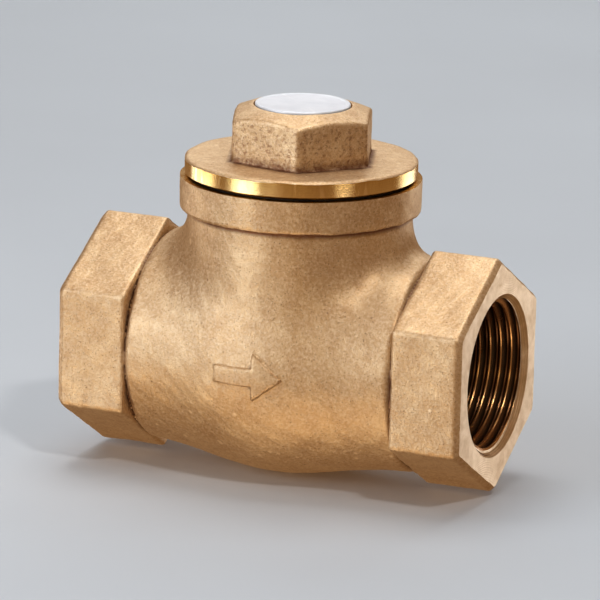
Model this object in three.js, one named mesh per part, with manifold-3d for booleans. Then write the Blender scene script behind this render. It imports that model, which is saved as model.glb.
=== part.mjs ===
// Bronze swing check valve, 1 inch, screwed cap and female taper-threaded ends.
// Millimetres. +X is the direction of flow, +Z points up through the cap.
// The origin is where the axis of the pipe run meets the axis of the cap.
import * as THREE from 'three';
import { mergeVertices } from 'three/addons/utils/BufferGeometryUtils.js';
import Module from 'manifold-3d';

const wasm = await Module();
wasm.setup();

// ---- driving dimensions ----

const FACE_TO_FACE = 90;
const END_HEX_ACROSS_FLATS = 43.1;
const END_HEX_LENGTH = 15.2;
const END_HEX_CHAMFER = 0.8;

// The globe is a barrel along X, blended into an upright neck.
const BARREL_BELLY_R = 25.7;
const BARREL_BELLY_X = -1.5;
const BARREL_SPREAD = 18.5;
const BARREL_END_R = 21.6;
const BARREL_END_X = 30.2;
const NECK_R = 23.2;
const NECK_INTO_COLLAR = 2;
const GLOBE_CENTRE_Z = 6;
const BLEND = 12.5;
const WALL = 3.0;

const COLLAR_R = 25.0;
const COLLAR_BOTTOM_Z = 30.3;
const COLLAR_TOP_Z = 37.1;
const COLLAR_CHAMFER = 0.6;

// Rc 1 ports, bored to the thread's minor diameter, which tapers 1 in 16.
const PORT_MINOR_R = 30.291 / 2;
const PORT_TAPER = 1 / 32;
const PORT_THREAD_LENGTH = 17;
const PORT_RUNOUT_START = 16;
const PORT_RUNOUT_END = 18.5;
const PORT_RUNOUT_R = 16.3;
const PORT_MOUTH_R = 17.3;
const PASSAGE_R = 14;

// The seat is a raised ring on the wall between the inlet bowl and the chamber.
const SEAT_FACE_X = -9.3;
const SEAT_BORE_R = 11.5;
const SEAT_RING_R = 13.2;
const CHAMBER_WALL_X = -13.5;
const CHAMBER_CONE_X = 21;
const CHAMBER_CONE_END_X = 25;
const BOWL_R = 16.5;

// Steps of the inlet passage, counted inward from the end of the port's thread.
const INLET_PASSAGE_END = 3.5;
const BOWL_START = 6.5;
const BOWL_END = 10;
const SEAT_BORE_START = 13.5;

// Cap and its plug. The plug's thread is M39 x 1.5, left plain here.
const NECK_BORE_R = 19.3;
const NECK_FLOOR_Z = 21.5;
const NECK_LOWER_Z = 8;
const CAP_PLUG_R = 19.0;
const CAP_PLUG_BOTTOM_Z = 28.5;
const CAP_PLUG_CHAMFER = 1;
const CAP_FLANGE_R = 24.1;
const CAP_FLANGE_Z = 37.5;
const CAP_FLANGE_TOP_Z = 41.2;
const CAP_FLANGE_CHAMFER = 0.5;
const CAP_HEX_ACROSS_FLATS = 28.0;
const CAP_HEX_CORNER_Z = 50.0;
const CAP_TOP_Z = 52.1;
const CAP_TOP_R = 10.7;
const CAP_HEX_TURN = THREE.MathUtils.degToRad(-70);
const CAP_HOLLOW_R = 15.3;
const CAP_HOLLOW_TOP_Z = 37.3;
const CAP_HOLLOW_CORNER = 2;
const CAP_CORE_R = 9.5;
const CAP_CORE_TOP_Z = 46;
const CAP_CORE_DRAFT = 1;

const GASKET_RECESS_R = 22.7;
const GASKET_RECESS_Z = 35.3;
const GASKET_INNER_R = 19.7;

const PLATE_R = 9.9;
const PLATE_RECESS_Z = 51.5;
const PLATE_THICKNESS = 0.7;
const PLATE_CHAMFER = 0.2;

// Hinge pin, along Y above the top of the seat.
const PIN_X = -8.5;
const PIN_Z = 18.6;
const PIN_R = 1.75;
const PIN_FRONT_Y = -19.5;
const PIN_BACK_Y = 19.3;
const PIN_LUG_R = 4.2;
const PIN_LUG_INNER_Y = 9.8;

const PLUG_BORE_R = 4.9;
const PLUG_BORE_Y = 19.6;
const PLUG_BOSS_R = 8;
const PLUG_BOSS_Y = 25.5;
const PLUG_BOSS_START_Y = 12;
const PLUG_HEX_ACROSS_FLATS = 11;
const PLUG_HEAD_HEIGHT = 4.2;
const PLUG_HEAD_CHAMFER = 0.4;
const PLUG_WASHER_R = 7.2;
const PLUG_WASHER_THICKNESS = 1.0;

// Clapper: hanger, disc holder with its stud, seat disc and their fasteners.
const HANGER_BARREL_R = 3.3;
const HANGER_BARREL_HALF = 9.4;
const HANGER_BACK_X = -3.4;
const HANGER_FRONT_X = 0.6;
const HANGER_EYE_R = 5.2;
const HANGER_ARM_WIDTH = 7;
const ARM_ABOVE_HOLDER = 0.7;

const HOLDER_R = 14.4;
const HOLDER_BACK_X = -3.8;
const HOLDER_RIM_X = -8.2;
const HOLDER_FLOOR_X = -6.4;
const HOLDER_CHAMFER = 0.8;
const STUD_R = 2.45;
const STUD_TIP_X = 8.2;
const STUD_CHAMFER = 0.5;
const FRONT_STUD_R = 2.0;
const FRONT_STUD_TIP_X = -14.2;
const FRONT_STUD_CHAMFER = 0.4;

const SEAT_DISC_R = 13.5;
const SEAT_DISC_FACE_X = -9.0;

const SEAT_WASHER_R = 7.6;
const SEAT_WASHER_THICKNESS = 0.8;
const SEAT_NUT_ACROSS_FLATS = 7;
const SEAT_NUT_HEIGHT = 3.0;

const HANGER_WASHER_R = 4.9;
const HANGER_WASHER_THICKNESS = 0.8;
const HANGER_NUT_ACROSS_FLATS = 8;
const HANGER_NUT_HEIGHT = 3.6;
const NUT_CHAMFER = 0.3;

const SPLIT_PIN_X = 6.8;
const SPLIT_PIN_R = 0.4;
const SPLIT_PIN_HOLE_R = 0.7;
const SPLIT_PIN_EYE_R = 1.1;
const SPLIT_PIN_EYE_CLEAR = 0.7;

const ARROW_LENGTH = 15;
const ARROW_HEAD_LENGTH = 6.5;
const ARROW_HEAD_HEIGHT = 10;
const ARROW_SHAFT_HEIGHT = 3.6;
const ARROW_RAISED = 0.7;
const ARROW_ROOT = 6;

// Gap left between two pieces that touch on the real valve.
const GAP = 0.3;
// A cutter runs past the face that it opens by this much.
const PAST = 1;
// The side of a trimming box, wider than the whole valve.
const WIDE = 100;

// Segments round a turned shape, and rows of points from pole to pole of the globe.
const FINE = 44;
const MEDIUM = 32;
const COARSE = 20;
const GLOBE_ROWS = 26;

// ---- solids: three.js geometry to manifold and back ----

function solid(geometry) {
  const bare = new THREE.BufferGeometry();
  bare.setAttribute('position', geometry.getAttribute('position'));
  bare.setIndex(geometry.getIndex());
  const merged = mergeVertices(bare, 1e-4);
  const index = merged.getIndex().array;
  const kept = [];
  for (let i = 0; i < index.length; i += 3) {
    const [a, b, c] = [index[i], index[i + 1], index[i + 2]];
    if (a !== b && b !== c && c !== a) kept.push(a, b, c);
  }
  const build = (triangles) => new wasm.Manifold(new wasm.Mesh({
    numProp: 3,
    vertProperties: new Float32Array(merged.getAttribute('position').array),
    triVerts: new Uint32Array(triangles),
  }));
  const first = build(kept);
  if (first.volume() > 0) return first;
  return build(kept.toReversed());
}

function toGeometry(body) {
  const mesh = body.getMesh();
  const geometry = new THREE.BufferGeometry();
  geometry.setAttribute('position', new THREE.BufferAttribute(mesh.vertProperties, 3));
  geometry.setIndex(new THREE.BufferAttribute(mesh.triVerts, 1));
  geometry.computeVertexNormals();
  return geometry;
}

function join(...bodies) {
  return bodies.reduce((sum, body) => sum.add(body));
}

function cut(body, ...tools) {
  return tools.reduce((rest, tool) => rest.subtract(tool), body);
}

// ---- shapes ----

// Turns a shape made along Y (lathe) so that its axis lies along the given axis.
function alongAxis(geometry, axis) {
  if (axis === 'z') geometry.rotateX(Math.PI / 2);
  if (axis === 'x') geometry.rotateZ(-Math.PI / 2);
  return geometry;
}

// Profile points are [radius, distance along the axis], and they close on themselves.
function turned(axis, profile, segments = FINE) {
  const points = profile.map(([r, along]) => new THREE.Vector2(r, along));
  points.push(points[0].clone());
  return solid(alongAxis(new THREE.LatheGeometry(points, segments), axis));
}

function rod(axis, r, from, to, segments = COARSE) {
  return turned(axis, [[0, from], [r, from], [r, to], [0, to]], segments);
}

function ring(axis, innerR, outerR, from, to, segments = FINE) {
  return turned(axis, [[innerR, from], [outerR, from], [outerR, to], [innerR, to]], segments);
}

function hexShape(acrossFlats, turn = 0) {
  const cornerR = acrossFlats / Math.sqrt(3);
  const corners = [];
  for (let i = 0; i < 6; i += 1) {
    const angle = turn + (i * Math.PI) / 3;
    corners.push(new THREE.Vector2(cornerR * Math.cos(angle), cornerR * Math.sin(angle)));
  }
  return new THREE.Shape(corners);
}

// A shape drawn in the plane across the axis, pushed from one place on the axis to another.
// Across X the shape's x is Y and its y is Z; across Y they are X and Z; across Z, X and Y.
function pushed(axis, shape, from, to, chamfer = 0) {
  const geometry = new THREE.ExtrudeGeometry(shape, {
    depth: to - from - 2 * chamfer,
    curveSegments: 10,
    bevelEnabled: chamfer > 0,
    bevelThickness: chamfer,
    bevelSize: chamfer,
    bevelOffset: -chamfer,
    bevelSegments: 1,
  });
  geometry.translate(0, 0, from + chamfer);
  if (axis === 'x') {
    geometry.applyMatrix4(new THREE.Matrix4().set(0, 0, 1, 0, 1, 0, 0, 0, 0, 1, 0, 0, 0, 0, 0, 1));
  }
  if (axis === 'y') {
    geometry.applyMatrix4(new THREE.Matrix4().set(1, 0, 0, 0, 0, 0, 1, 0, 0, 1, 0, 0, 0, 0, 0, 1));
  }
  return solid(geometry);
}

// ---- body ----

// The barrel swells to a belly a little upstream of the middle.
function barrelR(x) {
  const away = (x - BARREL_BELLY_X) / BARREL_SPREAD;
  return BARREL_END_R + (BARREL_BELLY_R - BARREL_END_R) * Math.exp(-away * away);
}

// Below zero inside the globe. Barrel and neck blend where their surfaces meet at an angle,
// and stay as they are where they run side by side.
function globeField(p, raised) {
  const runR = Math.hypot(p.y, p.z);
  const neckR = Math.hypot(p.x, p.y);
  const barrel = Math.max(runR - barrelR(p.x), Math.abs(p.x) - FACE_TO_FACE / 2);
  const neck = Math.max(neckR - NECK_R, p.z - COLLAR_BOTTOM_Z - NECK_INTO_COLLAR, -p.z);
  const together = (p.y * p.y) / (runR * neckR);
  const reach = BLEND * Math.sqrt(Math.max(1 - together, 1e-6));
  const near = Math.max(reach - Math.abs(barrel - neck), 0) / reach;
  return Math.min(barrel, neck) - (near ** 3 * reach) / 6 - raised;
}

// A sphere whose points slide along rays from the centre of the globe to its surface,
// trimmed where the hexagons begin.
function globe(raised = 0) {
  const geometry = new THREE.SphereGeometry(1, FINE, GLOBE_ROWS);
  geometry.rotateX(Math.PI / 2);
  const centre = new THREE.Vector3(0, 0, GLOBE_CENTRE_Z);
  const position = geometry.getAttribute('position');
  const ray = new THREE.Vector3();
  const point = new THREE.Vector3();
  for (let i = 0; i < position.count; i += 1) {
    ray.fromBufferAttribute(position, i).normalize();
    let [inside, outside] = [1, FACE_TO_FACE];
    while (outside - inside > 1e-4) {
      const middle = (inside + outside) / 2;
      point.copy(ray).multiplyScalar(middle).add(centre);
      if (globeField(point, raised) < 0) inside = middle;
      else outside = middle;
    }
    position.setXYZ(i, point.x, point.y, point.z);
  }
  return solid(geometry).intersect(solid(new THREE.BoxGeometry(2 * BARREL_END_X, WIDE, WIDE)));
}

function flowArrow() {
  const tail = -ARROW_LENGTH / 2;
  const neck = ARROW_LENGTH / 2 - ARROW_HEAD_LENGTH;
  const outline = new THREE.Shape([
    new THREE.Vector2(tail, -ARROW_SHAFT_HEIGHT / 2),
    new THREE.Vector2(neck, -ARROW_SHAFT_HEIGHT / 2),
    new THREE.Vector2(neck, -ARROW_HEAD_HEIGHT / 2),
    new THREE.Vector2(ARROW_LENGTH / 2, 0),
    new THREE.Vector2(neck, ARROW_HEAD_HEIGHT / 2),
    new THREE.Vector2(neck, ARROW_SHAFT_HEIGHT / 2),
    new THREE.Vector2(tail, ARROW_SHAFT_HEIGHT / 2),
  ]);
  const front = -BARREL_BELLY_R - 2 * ARROW_RAISED;
  return pushed('y', outline, front, front + ARROW_ROOT).intersect(globe(ARROW_RAISED));
}

// One port, cut along +X from its mouth at x = 0.
function portCutter() {
  return turned('x', [
    [0, -PAST],
    [PORT_MOUTH_R + PAST, -PAST],
    [PORT_MINOR_R, PORT_MOUTH_R - PORT_MINOR_R],
    [PORT_MINOR_R - PORT_TAPER * PORT_RUNOUT_START, PORT_RUNOUT_START],
    [PORT_RUNOUT_R, PORT_RUNOUT_START],
    [PORT_RUNOUT_R, PORT_RUNOUT_END],
    [0, PORT_RUNOUT_END],
  ]);
}

// The inlet passage: a bowl behind the thread, narrowing to the bore of the seat.
function inletPassage() {
  const start = -FACE_TO_FACE / 2 + PORT_THREAD_LENGTH;
  return turned('x', [
    [0, start],
    [PASSAGE_R, start],
    [PASSAGE_R, start + INLET_PASSAGE_END],
    [BOWL_R, start + BOWL_START],
    [BOWL_R, start + BOWL_END],
    [SEAT_BORE_R, start + SEAT_BORE_START],
    [SEAT_BORE_R, SEAT_FACE_X + PAST],
    [0, SEAT_FACE_X + PAST],
  ]);
}

function chamber() {
  const steps = 6;
  const profile = [[0, CHAMBER_WALL_X]];
  for (let i = 0; i <= steps; i += 1) {
    const x = CHAMBER_WALL_X + ((CHAMBER_CONE_X - CHAMBER_WALL_X) * i) / steps;
    profile.push([barrelR(x) - WALL, x]);
  }
  const outletThreadEnd = FACE_TO_FACE / 2 - PORT_THREAD_LENGTH;
  profile.push([PASSAGE_R, CHAMBER_CONE_END_X]);
  profile.push([PASSAGE_R, outletThreadEnd + PAST]);
  profile.push([0, outletThreadEnd + PAST]);
  return turned('x', profile);
}

// The neck's bore reaches down beside the chamber, except over the inlet bowl.
function neckBore() {
  const upper = rod('z', NECK_BORE_R, NECK_FLOOR_Z, COLLAR_TOP_Z + PAST, FINE);
  const recess = rod('z', GASKET_RECESS_R, GASKET_RECESS_Z, COLLAR_TOP_Z + PAST, FINE);
  const lower = rod('z', NECK_BORE_R, NECK_LOWER_Z, NECK_FLOOR_Z + PAST, FINE);
  const overBowl = new THREE.BoxGeometry(WIDE, WIDE, WIDE).translate(CHAMBER_WALL_X - WIDE / 2, 0, 0);
  return join(upper, recess, cut(lower, solid(overBowl)));
}

function placedAtPin(body) {
  return body.translate(PIN_X, 0, PIN_Z);
}

function makeBody() {
  const hexInnerX = FACE_TO_FACE / 2 - END_HEX_LENGTH;
  const hex = hexShape(END_HEX_ACROSS_FLATS, Math.PI / 2);
  const collar = turned('z', [
    [0, COLLAR_BOTTOM_Z],
    [COLLAR_R - COLLAR_CHAMFER, COLLAR_BOTTOM_Z],
    [COLLAR_R, COLLAR_BOTTOM_Z + COLLAR_CHAMFER],
    [COLLAR_R, COLLAR_TOP_Z - COLLAR_CHAMFER],
    [COLLAR_R - COLLAR_CHAMFER, COLLAR_TOP_Z],
    [0, COLLAR_TOP_Z],
  ]);
  const outside = join(
    globe(),
    flowArrow(),
    pushed('x', hex, hexInnerX, FACE_TO_FACE / 2, END_HEX_CHAMFER),
    pushed('x', hex, -FACE_TO_FACE / 2, -hexInnerX, END_HEX_CHAMFER),
    collar,
    placedAtPin(rod('y', PLUG_BOSS_R, PLUG_BOSS_START_Y, PLUG_BOSS_Y, MEDIUM)),
  );
  const hollow = join(
    portCutter().translate(-FACE_TO_FACE / 2, 0, 0),
    portCutter().rotate(0, 0, 180).translate(FACE_TO_FACE / 2, 0, 0),
    chamber(),
    neckBore(),
  );
  const seat = rod('x', SEAT_RING_R, CHAMBER_WALL_X - PAST, SEAT_FACE_X, FINE);
  const lugEnd = NECK_BORE_R + PAST;
  const lugs = join(
    placedAtPin(rod('y', PIN_LUG_R, PIN_LUG_INNER_Y, lugEnd)),
    placedAtPin(rod('y', PIN_LUG_R, -lugEnd, -PIN_LUG_INNER_Y)),
  ).intersect(rod('z', NECK_R - PAST, 0, COLLAR_BOTTOM_Z, FINE));
  return cut(
    join(cut(outside, hollow), seat, lugs),
    inletPassage(),
    placedAtPin(rod('y', PIN_R + GAP, PIN_FRONT_Y - GAP, PLUG_BORE_Y + PAST)),
    placedAtPin(rod('y', PLUG_BORE_R, PLUG_BORE_Y, PLUG_BOSS_Y + PAST, MEDIUM)),
  );
}

// ---- cap, gasket and plate ----

function makeCap() {
  const cornerR = CAP_HEX_ACROSS_FLATS / Math.sqrt(3);
  const hex = pushed('z', hexShape(CAP_HEX_ACROSS_FLATS, CAP_HEX_TURN), CAP_FLANGE_Z + PAST, CAP_TOP_Z);
  const crownSlope = (CAP_TOP_Z - CAP_HEX_CORNER_Z) / (cornerR - CAP_TOP_R);
  const crown = turned('z', [
    [0, CAP_FLANGE_Z],
    [cornerR + PAST, CAP_FLANGE_Z],
    [cornerR + PAST, CAP_HEX_CORNER_Z - PAST * crownSlope],
    [CAP_TOP_R, CAP_TOP_Z],
    [0, CAP_TOP_Z],
  ]);
  const flangeAndPlug = turned('z', [
    [0, CAP_PLUG_BOTTOM_Z],
    [CAP_PLUG_R - CAP_PLUG_CHAMFER, CAP_PLUG_BOTTOM_Z],
    [CAP_PLUG_R, CAP_PLUG_BOTTOM_Z + CAP_PLUG_CHAMFER],
    [CAP_PLUG_R, CAP_FLANGE_Z],
    [CAP_FLANGE_R - CAP_FLANGE_CHAMFER, CAP_FLANGE_Z],
    [CAP_FLANGE_R, CAP_FLANGE_Z + CAP_FLANGE_CHAMFER],
    [CAP_FLANGE_R, CAP_FLANGE_TOP_Z - CAP_FLANGE_CHAMFER],
    [CAP_FLANGE_R - CAP_FLANGE_CHAMFER, CAP_FLANGE_TOP_Z],
    [0, CAP_FLANGE_TOP_Z],
  ]);
  const hollow = turned('z', [
    [0, CAP_PLUG_BOTTOM_Z - PAST],
    [CAP_HOLLOW_R, CAP_PLUG_BOTTOM_Z - PAST],
    [CAP_HOLLOW_R, CAP_HOLLOW_TOP_Z - CAP_HOLLOW_CORNER],
    [CAP_HOLLOW_R - CAP_HOLLOW_CORNER, CAP_HOLLOW_TOP_Z],
    [CAP_CORE_R, CAP_HOLLOW_TOP_Z],
    [CAP_CORE_R - CAP_CORE_DRAFT, CAP_CORE_TOP_Z],
    [0, CAP_CORE_TOP_Z],
  ], MEDIUM);
  const plateRecess = rod('z', PLATE_R + GAP, PLATE_RECESS_Z, CAP_TOP_Z + PAST, FINE);
  return cut(join(flangeAndPlug, hex.intersect(crown)), hollow, plateRecess);
}

function makeCapGasket() {
  return ring('z', GASKET_INNER_R, GASKET_RECESS_R - GAP, GASKET_RECESS_Z + GAP, CAP_FLANGE_Z - GAP);
}

function makeNamePlate() {
  const bottom = PLATE_RECESS_Z + GAP;
  const top = bottom + PLATE_THICKNESS;
  return turned('z', [
    [0, bottom],
    [PLATE_R, bottom],
    [PLATE_R, top - PLATE_CHAMFER],
    [PLATE_R - PLATE_CHAMFER, top],
    [0, top],
  ]);
}

// ---- hinge pin and its plug ----

function makeHingePin() {
  return placedAtPin(rod('y', PIN_R, PIN_FRONT_Y, PIN_BACK_Y));
}

function makePlugWasher() {
  const from = PLUG_BOSS_Y + GAP;
  return placedAtPin(ring('y', PLUG_BORE_R, PLUG_WASHER_R, from, from + PLUG_WASHER_THICKNESS, MEDIUM));
}

function makeHingePinPlug() {
  const headY = PLUG_BOSS_Y + GAP + PLUG_WASHER_THICKNESS + GAP;
  const hex = hexShape(PLUG_HEX_ACROSS_FLATS);
  const head = pushed('y', hex, headY, headY + PLUG_HEAD_HEIGHT, PLUG_HEAD_CHAMFER);
  const shank = rod('y', PLUG_BORE_R - GAP, PLUG_BORE_Y + GAP, headY + PAST, MEDIUM);
  return placedAtPin(join(shank, head));
}

// ---- clapper ----

// Side view of the arm: from the barrel, over the top of the disc holder, down to the eye.
function armShape() {
  const low = HOLDER_R + ARM_ABOVE_HOLDER;
  const shape = new THREE.Shape();
  shape.moveTo(PIN_X, PIN_Z + HANGER_BARREL_R - 0.4);
  shape.lineTo(HANGER_BACK_X - 1, PIN_Z + HANGER_BARREL_R - 0.8);
  shape.quadraticCurveTo(HANGER_FRONT_X, PIN_Z + 1.5, HANGER_FRONT_X, low - 2);
  shape.lineTo(HANGER_FRONT_X - 0.6, 0);
  shape.lineTo(HANGER_BACK_X, 0);
  shape.lineTo(HANGER_BACK_X, low);
  shape.lineTo(PIN_X, low + 0.4);
  return shape;
}

function makeHanger() {
  const half = HANGER_ARM_WIDTH / 2;
  return cut(
    join(
      placedAtPin(rod('y', HANGER_BARREL_R, -HANGER_BARREL_HALF, HANGER_BARREL_HALF, MEDIUM)),
      pushed('y', armShape(), -half, half),
      rod('x', HANGER_EYE_R, HANGER_BACK_X, HANGER_FRONT_X, MEDIUM),
    ),
    placedAtPin(rod('y', PIN_R + GAP, -HANGER_BARREL_HALF - PAST, HANGER_BARREL_HALF + PAST)),
    rod('x', STUD_R + GAP, HANGER_BACK_X - PAST, HANGER_FRONT_X + PAST),
  );
}

function makeDiscHolder() {
  const recessR = SEAT_DISC_R + GAP;
  const turnedShape = turned('x', [
    [0, FRONT_STUD_TIP_X],
    [FRONT_STUD_R - FRONT_STUD_CHAMFER, FRONT_STUD_TIP_X],
    [FRONT_STUD_R, FRONT_STUD_TIP_X + FRONT_STUD_CHAMFER],
    [FRONT_STUD_R, HOLDER_FLOOR_X],
    [recessR, HOLDER_FLOOR_X],
    [recessR, HOLDER_RIM_X],
    [HOLDER_R, HOLDER_RIM_X],
    [HOLDER_R, HOLDER_BACK_X - HOLDER_CHAMFER],
    [HOLDER_R - HOLDER_CHAMFER, HOLDER_BACK_X],
    [STUD_R, HOLDER_BACK_X],
    [STUD_R, STUD_TIP_X - STUD_CHAMFER],
    [STUD_R - STUD_CHAMFER, STUD_TIP_X],
    [0, STUD_TIP_X],
  ], FINE);
  const pinHole = rod('y', SPLIT_PIN_HOLE_R, -STUD_R - PAST, STUD_R + PAST, 12);
  return cut(turnedShape, pinHole.translate(SPLIT_PIN_X, 0, 0));
}

function makeSeatDisc() {
  const back = HOLDER_FLOOR_X - GAP;
  return ring('x', FRONT_STUD_R + GAP, SEAT_DISC_R, SEAT_DISC_FACE_X, back);
}

function makeSeatWasher() {
  const face = SEAT_DISC_FACE_X - GAP;
  return ring('x', FRONT_STUD_R + GAP, SEAT_WASHER_R, face - SEAT_WASHER_THICKNESS, face, MEDIUM);
}

function hexNut(acrossFlats, boreR, from, to) {
  const blank = pushed('x', hexShape(acrossFlats), from, to, NUT_CHAMFER);
  return cut(blank, rod('x', boreR, from - PAST, to + PAST));
}

function makeSeatNut() {
  const face = SEAT_DISC_FACE_X - GAP - SEAT_WASHER_THICKNESS - GAP;
  return hexNut(SEAT_NUT_ACROSS_FLATS, FRONT_STUD_R + GAP, face - SEAT_NUT_HEIGHT, face);
}

function makeHangerWasher() {
  const from = HANGER_FRONT_X + GAP;
  return ring('x', STUD_R + GAP, HANGER_WASHER_R, from, from + HANGER_WASHER_THICKNESS, COARSE);
}

function makeHangerNut() {
  const from = HANGER_FRONT_X + GAP + HANGER_WASHER_THICKNESS + GAP;
  return hexNut(HANGER_NUT_ACROSS_FLATS, STUD_R + GAP, from, from + HANGER_NUT_HEIGHT);
}

// A shank through the stud, an eye on one side and a leg bent over on the other.
function makeSplitPin() {
  const eye = new THREE.TorusGeometry(SPLIT_PIN_EYE_R, SPLIT_PIN_R, 8, 14).rotateY(Math.PI / 2);
  eye.translate(0, STUD_R + SPLIT_PIN_EYE_CLEAR + SPLIT_PIN_EYE_R, 0);
  const bend = new THREE.CatmullRomCurve3([
    new THREE.Vector3(0, STUD_R + 1, 0),
    new THREE.Vector3(0, 0, 0),
    new THREE.Vector3(0, -STUD_R, 0),
    new THREE.Vector3(0, -STUD_R - 0.9, 0.25),
    new THREE.Vector3(0, -STUD_R - 1.5, 1.1),
    new THREE.Vector3(0, -STUD_R - 1.6, 2.4),
  ]);
  const section = new THREE.Shape().absarc(0, 0, SPLIT_PIN_R, 0, 2 * Math.PI);
  const wire = new THREE.ExtrudeGeometry(section, { extrudePath: bend, steps: 18, curveSegments: 4 });
  return join(solid(eye), solid(wire)).translate(SPLIT_PIN_X, 0, 0);
}

// ---- materials ----

const castBronze = { color: 0xc39d71, roughness: 0.55, metalness: 0.85 };
const turnedBronze = { color: 0xd6b070, roughness: 0.28, metalness: 1 };
const steel = { color: 0xb8bcc0, roughness: 0.3, metalness: 1 };
const fibre = { color: 0x57524a, roughness: 0.9, metalness: 0 };
const ptfe = { color: 0xf0eee6, roughness: 0.5, metalness: 0 };
const aluminium = { color: 0xeaebec, roughness: 0.35, metalness: 0.6 };

const valve = new THREE.Group();

function addPart(name, body, finish) {
  const mesh = new THREE.Mesh(toGeometry(body), new THREE.MeshStandardMaterial(finish));
  mesh.name = name;
  valve.add(mesh);
}

addPart('body', makeBody(), castBronze);
addPart('cap', makeCap(), castBronze);
addPart('cap_gasket', makeCapGasket(), fibre);
addPart('name_plate', makeNamePlate(), aluminium);
addPart('hinge_pin', makeHingePin(), steel);
addPart('hinge_pin_plug', makeHingePinPlug(), turnedBronze);
addPart('plug_washer', makePlugWasher(), fibre);
addPart('hanger', makeHanger(), castBronze);
addPart('disc_holder', makeDiscHolder(), turnedBronze);
addPart('seat_disc', makeSeatDisc(), ptfe);
addPart('seat_disc_washer', makeSeatWasher(), turnedBronze);
addPart('seat_disc_nut', makeSeatNut(), turnedBronze);
addPart('hanger_washer', makeHangerWasher(), turnedBronze);
addPart('hanger_nut', makeHangerNut(), turnedBronze);
addPart('split_pin', makeSplitPin(), steel);

export default valve;
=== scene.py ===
import math

import bmesh
import bpy
import numpy as np
import openvdb
from mathutils import Matrix, Vector


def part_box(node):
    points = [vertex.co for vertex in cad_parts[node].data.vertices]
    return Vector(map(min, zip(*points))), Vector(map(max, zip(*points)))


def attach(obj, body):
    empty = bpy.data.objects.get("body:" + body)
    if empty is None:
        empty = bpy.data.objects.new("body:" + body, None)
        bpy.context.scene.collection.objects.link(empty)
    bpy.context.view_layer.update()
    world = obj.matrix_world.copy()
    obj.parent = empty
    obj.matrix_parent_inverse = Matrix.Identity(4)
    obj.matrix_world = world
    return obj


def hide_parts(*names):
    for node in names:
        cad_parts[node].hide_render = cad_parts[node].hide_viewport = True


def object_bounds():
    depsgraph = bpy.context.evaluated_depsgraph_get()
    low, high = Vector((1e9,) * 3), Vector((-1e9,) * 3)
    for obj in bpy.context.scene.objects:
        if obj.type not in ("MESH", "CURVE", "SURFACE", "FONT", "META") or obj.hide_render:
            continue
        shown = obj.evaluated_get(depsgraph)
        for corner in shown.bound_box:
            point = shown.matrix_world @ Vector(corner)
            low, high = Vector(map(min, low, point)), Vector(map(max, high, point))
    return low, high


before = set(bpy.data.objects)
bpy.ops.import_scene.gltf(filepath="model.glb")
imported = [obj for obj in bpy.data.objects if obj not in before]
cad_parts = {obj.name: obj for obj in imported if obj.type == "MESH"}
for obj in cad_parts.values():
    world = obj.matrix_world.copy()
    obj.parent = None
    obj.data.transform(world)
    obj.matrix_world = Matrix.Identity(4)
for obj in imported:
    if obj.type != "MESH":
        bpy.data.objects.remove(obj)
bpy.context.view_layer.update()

# Shapes are worked out in millimetres and put into the scene in metres.
MM = 0.001

# ---- driving dimensions, in millimetres. The main ones are the frame's ----

LENGTH = 90.0
END_HEX_FLATS = 43.1
END_HEX_LENGTH = 15.2
END_HEX_CHAMFER = 1.0
HEX_INNER_X = LENGTH / 2 - END_HEX_LENGTH
BARREL_BELLY_R = 25.7
BARREL_BELLY_X = -1.5
BARREL_END_R = 21.6
BARREL_SPREAD = 18.5
NECK_R = 23.2
BLEND = 12.5
WALL = 3.0
# The groove between the barrel and each hexagon.
GROOVE_DEPTH = 1.0
GROOVE_SPREAD = 0.7
# How far the corners of the casting are rounded, and the stock left on it for machining.
CAST_EDGE = 1.1
MACHINING = 0.6
COLLAR_R = 25.0
COLLAR_BOTTOM = 30.3
COLLAR_TOP = 37.1

PORT_PITCH = 25.4 / 11
PORT_MAJOR_R = 16.62
PORT_DEPTH = 1.479
PORT_TAPER = 1 / 32
PORT_LENGTH = 18.5
PASSAGE_R = 14.0
BOWL_R = 16.5
SEAT_FACE_X = -9.3
SEAT_BORE_R = 11.5
SEAT_RING_R = 13.2
CHAMBER_WALL_X = -13.5
CHAMBER_CONE_X = 21.0
CHAMBER_CONE_END_X = 25.0
# Where the steps of the passage start and end along the run. They overlap a little.
INLET_SPAN = (-28, -20)
BOWL_SPAN = (-22.5, -15.5)
THROAT_START = -18
SEAT_BORE_START = -15.5
OUTLET_SPAN = (15, 28)

NECK_BORE_R = 19.3
NECK_FLOOR = 21.5
NECK_LOWER = 8.0
RECESS_R = 22.7
RECESS_BOTTOM = 35.3
CAP_PITCH = 1.5
CAP_THREAD_DEPTH = 0.85

CAP_PLUG_R = 19.0
CAP_PLUG_BOTTOM = 28.5
CAP_FLANGE_R = 24.1
CAP_FLANGE_BOTTOM = 37.5
CAP_FLANGE_TOP = 41.2
CAP_HEX_FLATS = 28.0
CAP_HEX_CORNER = 50.0
CAP_TOP = 52.1
CAP_TOP_R = 10.7
CAP_TURN = math.radians(-70)
CAP_HOLLOW_R = 15.3
CAP_HOLLOW_TOP = 37.3
CAP_CORE_R = 9.5
CAP_CORE_TOP = 46
GASKET_INNER_R = 19.7
PLATE_R = 9.9
PLATE_RECESS = 51.5

PIN_X = -8.5
PIN_Z = 18.6
PIN_R = 1.75
AT_PIN = (PIN_X, 0, PIN_Z)
PLUG_BORE_R = 4.9
PLUG_BORE_Y = 19.6
BOSS_R = 8.0
BOSS_START = 12
BOSS_Y = 25.5

ARROW_LENGTH = 15.0
ARROW_HEAD_LENGTH = 6.5
ARROW_HEAD = 10.0
ARROW_SHAFT = 3.6
ARROW_RAISED = 0.7

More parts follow.
